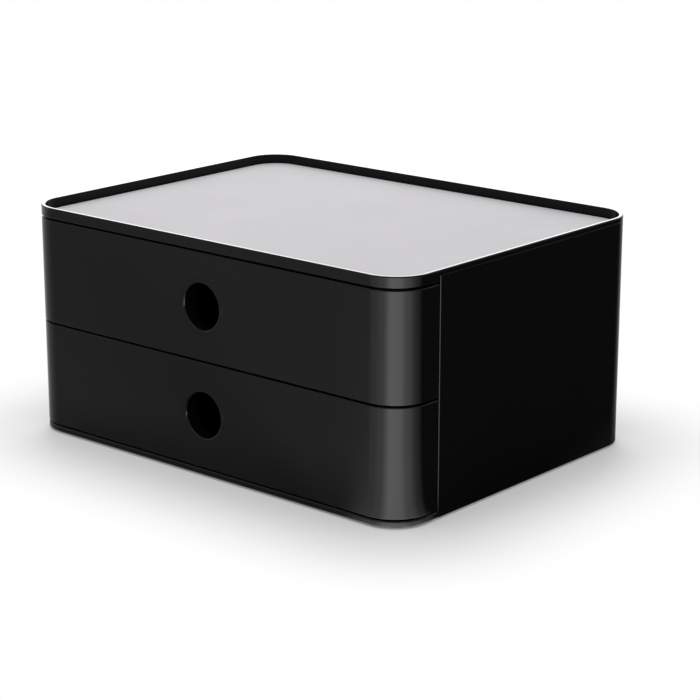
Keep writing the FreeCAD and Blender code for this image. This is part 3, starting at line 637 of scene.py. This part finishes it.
class DESKBOX_OT_top_frame(bpy.types.Operator):
    """Build the rim with the front band, and the carrier plate under the deck"""

    bl_idname = "desk_box.top_frame"
    bl_label = "Top frame"

    def execute(self, context):
        s = sizes()
        top, bottom = TOP_HIGH.z, TOP_HIGH.z - s["band"]
        ring = top - s["ring_height"]
        lap = s["tongue"] + s["fit_gap"]
        skin, ledge = s["skin"], s["skin"] + s["ledge"]
        tub = skin + s["front_gap"]
        edge = s["edge"]
        carrier = DECK_LOW.z - s["carrier"]

        def section(behind):
            # Both kinds have the same number of corners, so that their points join up.
            if behind:
                outer = [((0, ring), LAP_ROUND), ((lap, ring), 0), ((lap, bottom), 0)]
            else:
                outer = [((0, ring), 0), ((0, ring), 0), ((0, bottom), edge)]
            ends = [
                ((ledge, DECK_LOW.z), 0),
                ((ledge, DECK_HIGH.z), 0),
                ((skin, DECK_HIGH.z), 0),
                ((skin, top), edge),
                ((0, top), edge),
                *outer,
                ((tub, bottom), 0),
                ((tub, carrier), 0),
            ]
            return section_line(ends, EDGE_STEPS)

        corners = box_corners(s["corner"], CORNER_STEPS)
        side = FRONT_HIGH.x
        # Each station says whether it is behind the side seams.
        back = [(station, 1) for corner in corners[:2] for station in corner]
        front = [(station, 0) for corner in corners[2:] for station in corner]
        left, right = (-side, WRAP_END, -1.0, 0.0), (side, WRAP_END, 1.0, 0.0)
        path = [(right, 1), *back, (left, 1), (left, 0), *front, (right, 0)]
        mesh = swept(path, section, ring=True)
        root = carrier + RIB_BEVEL
        for x in RIB_PLACES:
            low = (x - RIB_WIDTH / 2, RIB_FRONT, carrier - RIB_DEPTH)
            bar(mesh, low, (x + RIB_WIDTH / 2, RIB_BACK, root), RIB_BEVEL)
        stop_low = (-STOP_RIB_SIDE, STOP_RIB_FRONT, STOP_RIB_BOTTOM)
        bar(mesh, stop_low, (STOP_RIB_SIDE, STOP_RIB_BACK, root), RIB_BEVEL)
        for sign in (-1, 1):
            near, far = sorted((sign * SIDE_RIB_INNER, sign * SIDE_RIB_OUTER))
            low = (near, SIDE_RIB_FRONT, carrier - s["carrier"])
            bar(mesh, low, (far, SIDE_RIB_BACK, root), RIB_BEVEL)
        add_piece("rim_frame", mesh, "housing", polished_black(), ["top_frame"])
        return {"FINISHED"}


class DESKBOX_OT_deck(bpy.types.Operator):
    """Build the pale plate that lies in the rim"""

    bl_idname = "desk_box.deck"
    bl_label = "Deck"

    def execute(self, context):
        s = sizes()
        depth = FRONT_HIGH.x - DECK_HIGH.x
        low, high = DECK_LOW.z, DECK_HIGH.z
        inside = 60  # Only gives the end sides their direction. These two points are left out.
        edge = [((depth, low), 0), ((depth, high), DECK_ROUND)]
        line = section_line([((inside, low), 0), *edge, ((inside, high), 0)], END_STEPS)[1:-1]
        corners = box_corners(s["corner"], CORNER_STEPS)
        path = [(station, 0) for corner in corners for station in corner]
        mesh = swept(path, lambda shrink: line, ring=True)
        add_piece("deck_plate", mesh, "housing", etched_grey(), ["deck_insert"])
        return {"FINISHED"}


class DESKBOX_OT_fronts(bpy.types.Operator):
    """Build the two drawer fronts that wrap round the corners"""

    bl_idname = "desk_box.fronts"
    bl_label = "Drawer fronts"

    def execute(self, context):
        s = sizes()
        material = polished_black()
        corners = box_corners(s["corner"], CORNER_STEPS)[2:]
        path = open_path(corners, WRAP_END, s["seam_edge"], END_STEPS)
        for drawer in DRAWERS:
            low, high = extent(f"{drawer}_drawer_front")
            section = [(0, low.z), (0, high.z), (s["skin"], high.z), (s["skin"], low.z)]
            radii = [s["edge"], s["edge"], INNER_ROUND, INNER_ROUND]
            mesh = swept(path, lambda by: rounded(section, radii, EDGE_STEPS, by), ring=False)
            add_piece(
                f"{drawer}_front",
                mesh,
                f"{drawer}_drawer",
                material,
                [f"{drawer}_drawer_front"],
                plug(s["grip_lip"] + GRIP_GAP, low.y, (low.z + high.z) / 2),
            )
        return {"FINISHED"}


def plug(radius, face_y, centre_z):
    """A closed cylinder along Y, for cutting a round hole through a front."""
    low_y, high_y = face_y - PLUG_REACH, face_y + PLUG_REACH
    profile = [(0, low_y), (radius, low_y), (radius, high_y), (0, high_y)]
    return turned(profile, centre_z, HOLE_STEPS)


class DESKBOX_OT_rings(bpy.types.Operator):
    """Build the lipped rings that line the finger holes"""

    bl_idname = "desk_box.rings"
    bl_label = "Grip rings"

    def execute(self, context):
        s = sizes()
        material = polished_black()
        for drawer in DRAWERS:
            low, high = extent(f"{drawer}_grip_ring")
            flange = (high.z - low.z) / 2
            inner = low.y + s["skin"]
            spigot = s["grip_bore"] + s["grip_wall"]
            section = [
                (s["grip_bore"], low.y),
                (s["grip_lip"], low.y),
                (s["grip_lip"], inner),
                (flange, inner),
                (flange, inner + s["grip_flange"]),
                (spigot, inner + s["grip_flange"]),
                (spigot, high.y),
                (s["grip_bore"], high.y),
            ]
            radii = [s["grip_round"], LIP_ROUND]
            radii += [0, INNER_ROUND, INNER_ROUND, 0, INNER_ROUND, INNER_ROUND]
            profile = rounded(section, radii, LIP_STEPS)
            mesh = turned(profile, (low.z + high.z) / 2, RING_STEPS)
            add_piece(
                f"{drawer}_ring",
                mesh,
                f"{drawer}_drawer",
                material,
                [f"{drawer}_grip_ring"],
            )
        return {"FINISHED"}


class DESKBOX_OT_inside(bpy.types.Operator):
    """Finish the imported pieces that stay: base, shelf, side frames, trays and feet"""

    bl_idname = "desk_box.inside"
    bl_label = "Inside and underside"

    def execute(self, context):
        finish_node("base_pan", polished_black())
        satin = satin_black()
        for name in ("divider_shelf", "left_side_frame", "right_side_frame"):
            finish_node(name, satin)
        for drawer in DRAWERS:
            finish_node(f"{drawer}_drawer_tray", satin)
        rubber = dull_rubber()
        for place in ("front_left", "front_right", "back_left", "back_right"):
            finish_node(f"foot_{place}", rubber)
        return {"FINISHED"}


class DESKBOX_OT_screws(bpy.types.Operator):
    """Build the round-headed screws under the base and inside the two trays"""

    bl_idname = "desk_box.screws"
    bl_label = "Screws"

    def execute(self, context):
        s = sizes()
        steel = plated_steel()
        towards_front = Matrix.Rotation(math.pi, 4, "Z")
        upwards = Matrix.Rotation(math.pi / 2, 4, "X")
        groups = {
            "base_screws": ("housing", upwards),
            "upper_front_screws": ("upper_drawer", towards_front),
            "lower_front_screws": ("lower_drawer", towards_front),
        }
        for node, (body, turn) in groups.items():
            way = turn.to_3x3() @ Vector((0, 1, 0))
            screws, drives = [], []
            for low, high in screw_boxes(node):
                long = abs(way.dot(high - low))
                head = max(abs(side) for side in (high - low) - way * way.dot(high - low)) / 2
                section = [
                    (0, 0),
                    (head, 0),
                    (head, s["screw_head"]),
                    (s["screw_shank"], s["screw_head"]),
                    (s["screw_shank"], long),
                    (0, long),
                ]
                radii = [0, HEAD_ROUND, UNDER_HEAD_ROUND, 0, TIP_ROUND, 0]
                screw = turned(rounded(section, radii, HEAD_STEPS), 0, SCREW_STEPS)
                drive = cross_recess(
                    CROSS_REACH * head, CROSS_WIDTH * head, CROSS_DEPTH * s["screw_head"]
                )
                place = Matrix.Translation((low + high) / 2 - way * long / 2) @ turn
                for group, part in ((screws, screw), (drives, drive)):
                    bmesh.ops.transform(part, matrix=place, verts=part.verts)
                    group.append(part)
            add_piece(
                node.replace("screws", "cross_head_screws"),
                joined(screws),
                body,
                steel,
                [node],
                joined(drives),
            )
        return {"FINISHED"}


# The studio.


class StudioSettings(bpy.types.PropertyGroup):
    """Lamps of the studio."""

    back_lamp: bpy.props.FloatProperty(
        name="Back lamp", description="Radiance of the softbox behind the box", default=4.5, min=0
    )
    top_lamp: bpy.props.FloatProperty(
        name="Top lamp", description="Radiance of the softbox above the box", default=0.8, min=0
    )
    corner_lamp: bpy.props.FloatProperty(
        name="Corner lamp", description="Radiance of the panel at the corner", default=9.0, min=0
    )
    room: bpy.props.FloatProperty(
        name="Room", description="Brightness of the plain room", default=0.55, min=0
    )


def area_lamp(name, place, target, width, height, radiance):
    """A rectangular softbox that faces a point, with its brightness given as radiance."""
    data = bpy.data.lights.new(name, "AREA")
    data.shape = "RECTANGLE"
    data.size = width * MM
    data.size_y = height * MM
    data.energy = radiance * math.pi * data.size * data.size_y
    lamp = bpy.data.objects.new(name, data)
    bpy.context.scene.collection.objects.link(lamp)
    lamp.location = Vector(place) * MM
    aim = (Vector(target) - Vector(place)).normalized()
    lamp.rotation_mode = "QUATERNION"
    lamp.rotation_quaternion = aim.to_track_quat("-Z", "Y")
    return lamp


class DESKBOX_OT_stage(bpy.types.Operator):
    """Set up the floor, the lamps, the room and the camera"""

    bl_idname = "desk_box.stage"
    bl_label = "Stage"

    def execute(self, context):
        scene = bpy.context.scene
        scene.view_settings.view_transform = "Standard"
        add_floor()
        add_room(scene)
        add_lamps()
        add_camera(scene)
        return {"FINISHED"}


def seen_rays(tree):
    """1 for the rays that show a backdrop: straight from the camera, in gloss or through glass."""
    path = add_node(tree, "ShaderNodeLightPath").outputs
    larger = {"operation": "MAXIMUM"}
    direct = add_node(
        tree, "ShaderNodeMath", larger, (path["Is Camera Ray"], path["Is Glossy Ray"])
    )
    seen = add_node(
        tree, "ShaderNodeMath", larger, (direct.outputs["Value"], path["Is Transmission Ray"])
    )
    return seen.outputs["Value"]


def stage_sheet(name, half_width, material):
    """A flat square of the stage, which isn't part of the box. Its half width is in millimetres."""
    mesh = bmesh.new()
    bmesh.ops.create_grid(mesh, x_segments=1, y_segments=1, size=half_width * MM)
    data = bpy.data.meshes.new(name)
    mesh.to_mesh(data)
    mesh.free()
    data.materials.append(material)
    sheet = bpy.data.objects.new(name, data)
    bpy.context.scene.collection.objects.link(sheet)
    return sheet


# The floor's half width, and how far from the box it turns plain white, in millimetres. A share of
# the white already shows at the foot of the box.
FLOOR_REACH, FLOOR_FADE = 12000, 85
FLOOR_SHARE = 0.16


def add_floor():
    """A plain pale floor that keeps the shadow round the box and fades to white away from it."""
    material, tree = new_material("studio_floor")
    corner = sizes()["corner"]
    straight = Vector((FRONT_HIGH.x - corner, -FRONT_LOW.y - corner, 0)) * MM
    place = add_node(tree, "ShaderNodeTexCoord").outputs["Object"]
    # How far a point on the floor is from the rectangle between the centres of the round corners.
    # The outline of the box is one corner radius out from it.
    for operation, other in (("ABSOLUTE", None), ("SUBTRACT", straight), ("MAXIMUM", (0, 0, 0))):
        inputs = (place,) if other is None else (place, other)
        place = add_node(tree, "ShaderNodeVectorMath", {"operation": operation}, inputs).outputs[0]
    away = add_node(tree, "ShaderNodeVectorMath", {"operation": "LENGTH"}, (place,))
    fade = add_node(
        tree,
        "ShaderNodeMapRange",
        {
            "interpolation_type": "SMOOTHSTEP",
            "From Min": corner * MM,
            "From Max": (corner + FLOOR_FADE) * MM,
            "To Min": FLOOR_SHARE,
            "To Max": 1.0,
        },
        Value=away.outputs["Value"],
    )
    factors = (seen_rays(tree), fade.outputs["Result"])
    share = add_node(tree, "ShaderNodeMath", {"operation": "MULTIPLY"}, factors)
    plain = add_node(tree, "ShaderNodeBsdfDiffuse", {"Color": colours().floor})
    glow = add_node(tree, "ShaderNodeEmission", {"Color": WHITE, "Strength": 1.0})
    layers = (share.outputs["Value"], plain.outputs["BSDF"], glow.outputs["Emission"])
    mix = add_node(tree, "ShaderNodeMixShader", None, layers)
    add_node(tree, "ShaderNodeOutputMaterial", Surface=mix.outputs["Shader"])
    stage_sheet("floor", FLOOR_REACH, material)


def add_room(scene):
    """An even grey room that lights every side of the box, and is seen as a white backdrop."""
    world = bpy.data.worlds.new("plain_room")
    scene.world = world
    world.use_nodes = True
    tree = world.node_tree
    tree.nodes.clear()
    strength = add_node(
        tree,
        "ShaderNodeMapRange",
        {"To Min": scene.desk_box_studio.room, "To Max": 1.0},
        Value=seen_rays(tree),
    )
    room = add_node(
        tree, "ShaderNodeBackground", {"Color": WHITE}, Strength=strength.outputs["Result"]
    )
    add_node(tree, "ShaderNodeOutputWorld", Surface=room.outputs["Background"])


def add_lamps():
    """Softboxes behind, above and before the box."""
    studio = bpy.context.scene.desk_box_studio
    middle = (0, 0, 60)
    area_lamp(
        "back_softbox",
        place=(-900, 1050, 620),
        target=middle,
        width=1100,
        height=800,
        radiance=studio.back_lamp,
    )
    area_lamp(
        "top_softbox",
        place=(200, -500, 1300),
        target=middle,
        width=1400,
        height=1400,
        radiance=studio.top_lamp,
    )
    add_corner_panel(studio.corner_lamp)
    # The flag is no lamp: it paints a dark reflection onto the box's right side.
    add_dark_reflection_flag()


# How bright the corner panel is, and how dense the flag that paints a dark reflection, by the
# direction from the right front corner: in degrees from the front, and to the right where they are
# positive.
PANEL_FAN = (
    (-42, 0),
    (-20, 0.15),
    (4, 0.3),
    (30, 0.94),
    (50, 0.86),
    (72, 0.43),
    (97, 0.09),
    (115, 0),
)
DARK_REFLECTION_FAN = (
    (-180, 0.6),
    (-140, 0.25),
    (-75, 0.25),
    (-60, 0.3),
    (-48, 0.08),
    (-38, 0),
    (88, 0),
    (106, 0.5),
    (120, 0.93),
    (165, 0.96),
    (180, 0.6),
)
PANEL_HEIGHT, DARK_REFLECTION_HEIGHT = 1.5, 0.8  # Over the floor, in millimetres.
PANEL_WIDTH = 1500


def under_corner(height):
    """The middle of the right front corner's round, at a height over the floor."""
    corner = sizes()["corner"]
    return Vector((FRONT_HIGH.x - corner, FRONT_LOW.y + corner, height))


def spread_by_direction(tree, right, forward, shares):
    """A value that follows the direction in which a panel is seen, in degrees from the front."""
    turn = add_node(tree, "ShaderNodeMath", {"operation": "ARCTAN2"}, (right, forward))
    level = add_node(
        tree,
        "ShaderNodeMapRange",
        {"From Min": -math.pi, "From Max": math.pi, "To Min": 0.0, "To Max": 1.0},
        Value=turn.outputs["Value"],
    )
    ramp = add_node(tree, "ShaderNodeValToRGB", Fac=level.outputs["Result"])
    ramp.color_ramp.interpolation = "EASE"
    stops = ramp.color_ramp.elements
    for i, (degrees, share) in enumerate(shares):
        spot = (degrees + 180) / 360
        stop = stops[i] if i < 2 else stops.new(spot)
        stop.position = spot
        stop.color = (share, share, share, 1)
    return ramp.outputs["Color"]


def add_corner_panel(radiance):
    """A soft panel low over the floor, seen only in gloss, that draws the corner's highlight."""
    centre = under_corner(PANEL_HEIGHT)
    above = centre + Vector((0, 0, 1))
    lamp = area_lamp("corner_panel", centre, above, PANEL_WIDTH, PANEL_WIDTH, radiance)
    # Turned over about its own X, so that it faces up and its first direction stays to the right.
    lamp.rotation_quaternion = (0, 1, 0, 0)
    lamp.visible_camera = False
    lamp.visible_diffuse = False
    lamp.visible_transmission = False
    lamp.data.use_nodes = True
    tree = lamp.data.node_tree
    tree.nodes.clear()
    place = add_node(tree, "ShaderNodeNewGeometry").outputs["Parametric"]
    subtract = {"operation": "SUBTRACT"}
    middle = add_node(tree, "ShaderNodeVectorMath", subtract, (place, (0.5, 0.5, 0)))
    parts = add_node(tree, "ShaderNodeSeparateXYZ", Vector=middle.outputs["Vector"])
    strength = spread_by_direction(tree, parts.outputs["X"], parts.outputs["Y"], PANEL_FAN)
    glow = add_node(tree, "ShaderNodeEmission", {"Color": WHITE}, Strength=strength)
    add_node(tree, "ShaderNodeOutputLight", Surface=glow.outputs["Emission"])


def add_dark_reflection_flag():
    """A black flag under the panel, seen only in gloss: a painted dark reflection that keeps the
    box's right side dark.
    """
    material, tree = new_material("painted_dark_reflection")
    place = add_node(tree, "ShaderNodeTexCoord").outputs["Object"]
    parts = add_node(tree, "ShaderNodeSeparateXYZ", Vector=place).outputs
    forward = add_node(tree, "ShaderNodeMath", {"operation": "MULTIPLY"}, (parts["Y"], -1))
    cover = spread_by_direction(tree, parts["X"], forward.outputs["Value"], DARK_REFLECTION_FAN)
    clear = add_node(tree, "ShaderNodeBsdfTransparent")
    black = add_node(tree, "ShaderNodeBsdfDiffuse", {"Color": (0, 0, 0, 1)})
    layers = (cover, clear.outputs["BSDF"], black.outputs["BSDF"])
    mix = add_node(tree, "ShaderNodeMixShader", None, layers)
    add_node(tree, "ShaderNodeOutputMaterial", Surface=mix.outputs["Shader"])
    reflection_flag = stage_sheet("dark_reflection_flag", PANEL_WIDTH / 2, material)
    reflection_flag.location = under_corner(DARK_REFLECTION_HEIGHT) * MM
    # Hidden from the camera, from light and from shadows, it only paints a dark reflection in the
    # gloss.
    for ray in ("camera", "diffuse", "transmission", "volume_scatter", "shadow"):
        setattr(reflection_flag, f"visible_{ray}", False)


def add_camera(scene):
    """The camera at the photograph's viewing angle."""
    azimuth, elevation, roll = math.radians(40.75), math.radians(15.97), math.radians(0.05)
    distance, shift_right, height = 1190.6, 11.1, 46.7
    focal_pixels, picture_width, sensor_width = 2209.7, 700, 36
    back = Vector(
        (
            math.sin(azimuth) * math.cos(elevation),
            -math.cos(azimuth) * math.cos(elevation),
            math.sin(elevation),
        )
    )
    right = Vector((math.cos(azimuth), math.sin(azimuth), 0))
    target = right * shift_right + Vector((0, 0, height))
    data = bpy.data.cameras.new("camera")
    data.sensor_width = sensor_width
    data.lens = focal_pixels / picture_width * sensor_width
    data.clip_start = 0.01
    data.clip_end = 50
    camera = bpy.data.objects.new("camera", data)
    scene.collection.objects.link(camera)
    camera.location = (target + back * distance) * MM
    up = back.cross(right)
    turn = Matrix.Rotation(roll, 3, back)
    axes = Matrix((turn @ right, turn @ up, back)).transposed()
    camera.rotation_mode = "QUATERNION"
    camera.rotation_quaternion = axes.to_quaternion()
    scene.camera = camera


class DESKBOX_PT_panel(bpy.types.Panel):
    """Sidebar panel with the sizes, the colours and the pieces"""

    bl_idname = "DESKBOX_PT_panel"
    bl_label = "Desk Box"
    bl_space_type = "VIEW_3D"
    bl_region_type = "UI"
    bl_category = "Desk Box"

    def draw(self, context):
        for name, group in GROUPS.items():
            column = self.layout.box().column()
            for item in group.__annotations__:
                column.prop(getattr(context.scene, name), item)
        for operator in OPERATORS:
            self.layout.operator(operator.bl_idname)


GROUPS = {
    "desk_box_sizes": BoxSizes,
    "desk_box_colours": BoxColours,
    "desk_box_studio": StudioSettings,
}
OPERATORS = (
    DESKBOX_OT_jacket,
    DESKBOX_OT_top_frame,
    DESKBOX_OT_deck,
    DESKBOX_OT_fronts,
    DESKBOX_OT_rings,
    DESKBOX_OT_inside,
    DESKBOX_OT_screws,
    DESKBOX_OT_stage,
)


def register():
    for name, group in GROUPS.items():
        bpy.utils.register_class(group)
        setattr(bpy.types.Scene, name, bpy.props.PointerProperty(type=group))
    for item in (*OPERATORS, DESKBOX_PT_panel):
        bpy.utils.register_class(item)


def unregister():
    for item in (DESKBOX_PT_panel, *reversed(OPERATORS)):
        bpy.utils.unregister_class(item)
    for name, group in GROUPS.items():
        delattr(bpy.types.Scene, name)
        bpy.utils.unregister_class(group)


def main():
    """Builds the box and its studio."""
    register()
    bpy.ops.desk_box.jacket()
    bpy.ops.desk_box.top_frame()
    bpy.ops.desk_box.deck()
    bpy.ops.desk_box.fronts()
    bpy.ops.desk_box.rings()
    bpy.ops.desk_box.inside()
    bpy.ops.desk_box.screws()
    bpy.ops.desk_box.stage()


if __name__ == "__main__":
    main()
